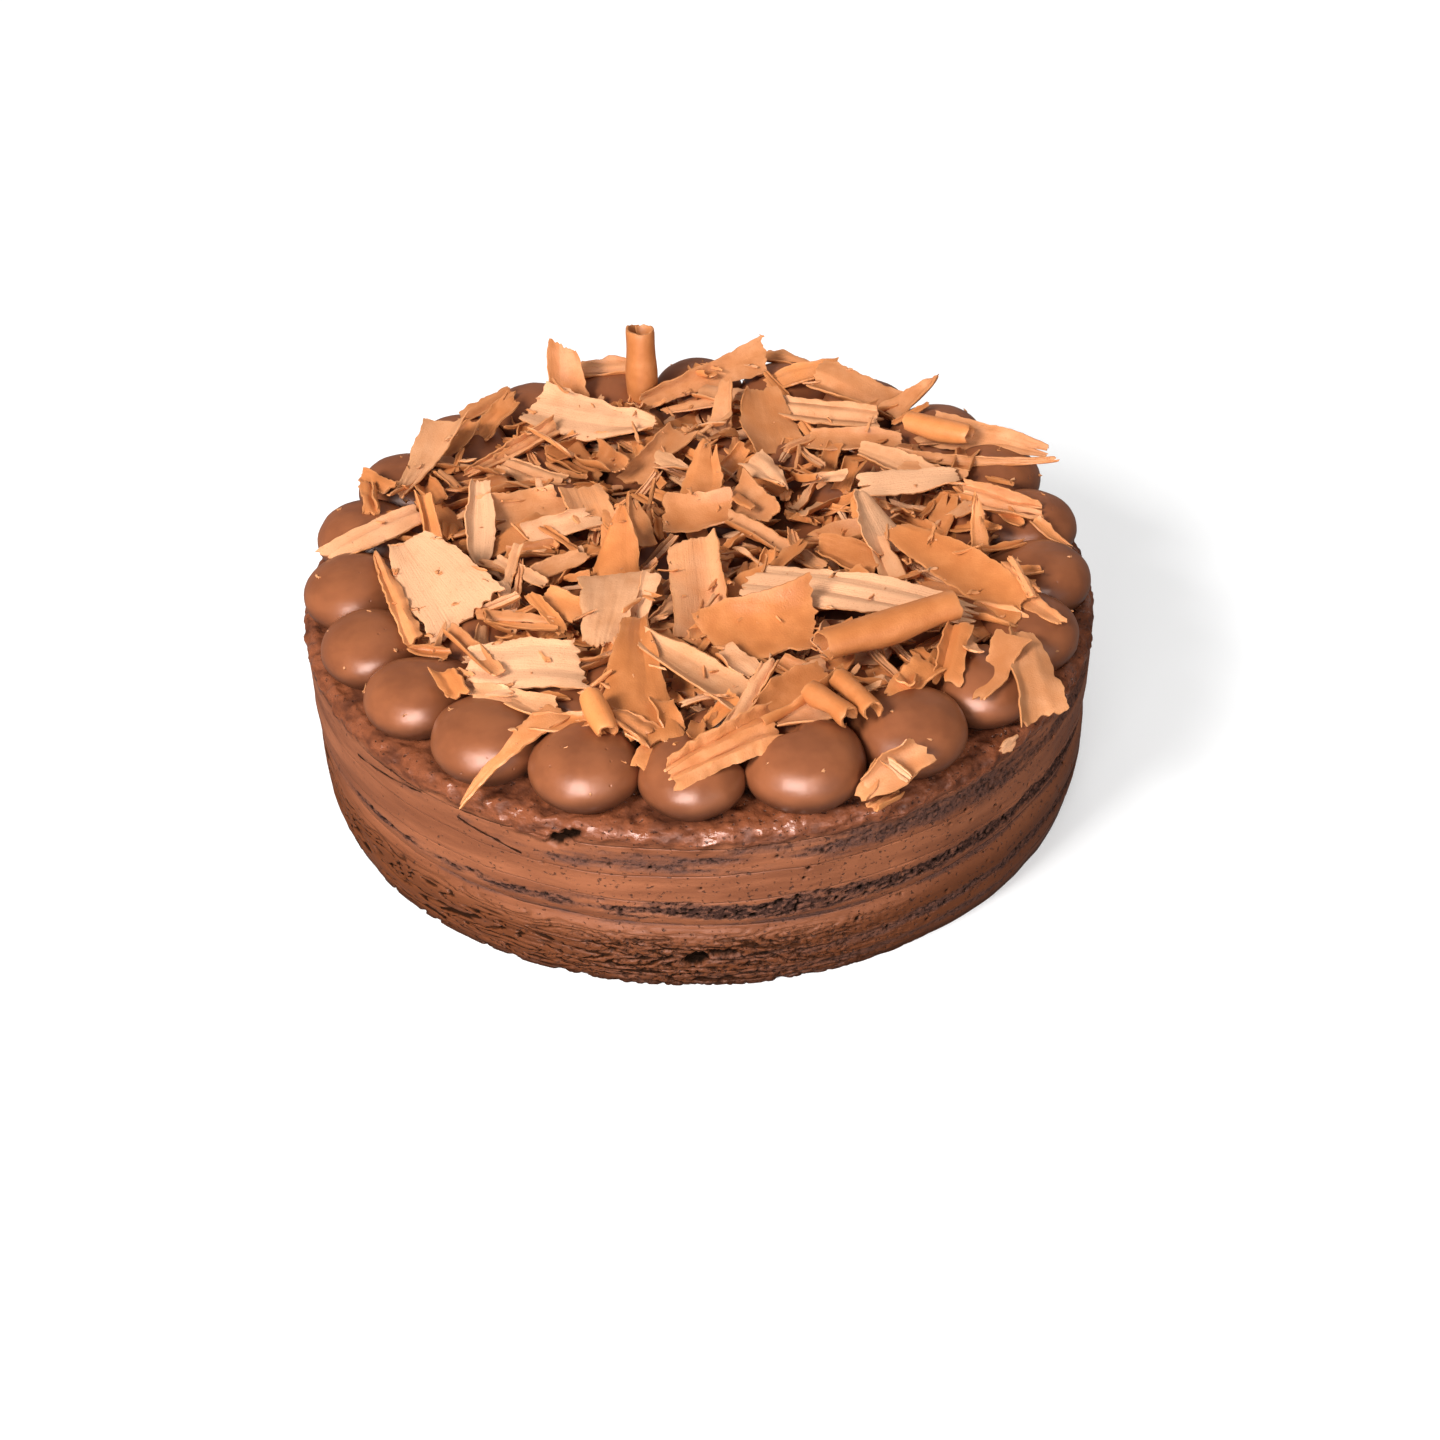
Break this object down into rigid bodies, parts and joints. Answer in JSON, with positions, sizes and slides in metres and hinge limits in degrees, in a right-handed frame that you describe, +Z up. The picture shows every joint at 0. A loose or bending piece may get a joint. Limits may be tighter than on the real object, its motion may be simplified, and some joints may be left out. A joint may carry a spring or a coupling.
{
  "type": "chocolate cake",
  "caption": "Round chocolate layer cake with an iced top, a ring of piped ganache dollops and a heap of curled milk chocolate shavings, whole and uncut.",
  "frame": {"origin": "middle of the cake's base, on its axis", "axes": "+Z up along the cake's axis, -Y towards the side that the picture shows at the front"},
  "size_m": [0.2098, 0.2095, 0.082],
  "materials": {
    "sponge": null,
    "filling": "smooth milk chocolate cream scraped flat, matt to satin",
    "icing": "chocolate icing with a rough rolled rim, satin",
    "ganache": "smooth piped chocolate ganache, semi-gloss",
    "shavings": "shaved milk chocolate, matt and ridged with smoother undersides"
  },
  "bodies": {
    "root": {"sponge_lower": "sponge", "filling_lower": "filling", "sponge_middle": "sponge", "filling_upper": "filling", "sponge_upper": "sponge", "icing_top": "icing", "dollop_01": "ganache", "dollop_02": "ganache", "dollop_03": "ganache", "dollop_04": "ganache", "dollop_05": "ganache", "dollop_06": "ganache", "dollop_07": "ganache", "dollop_08": "ganache", "dollop_09": "ganache", "dollop_10": "ganache", "dollop_11": "ganache", "dollop_12": "ganache", "dollop_13": "ganache", "dollop_14": "ganache", "dollop_15": "ganache", "dollop_16": "ganache", "dollop_17": "ganache", "dollop_18": "ganache", "dollop_19": "ganache", "dollop_20": "ganache", "dollop_21": "ganache", "dollop_22": "ganache", "shavings_heap": "shavings"}
  },
  "joints": []
}
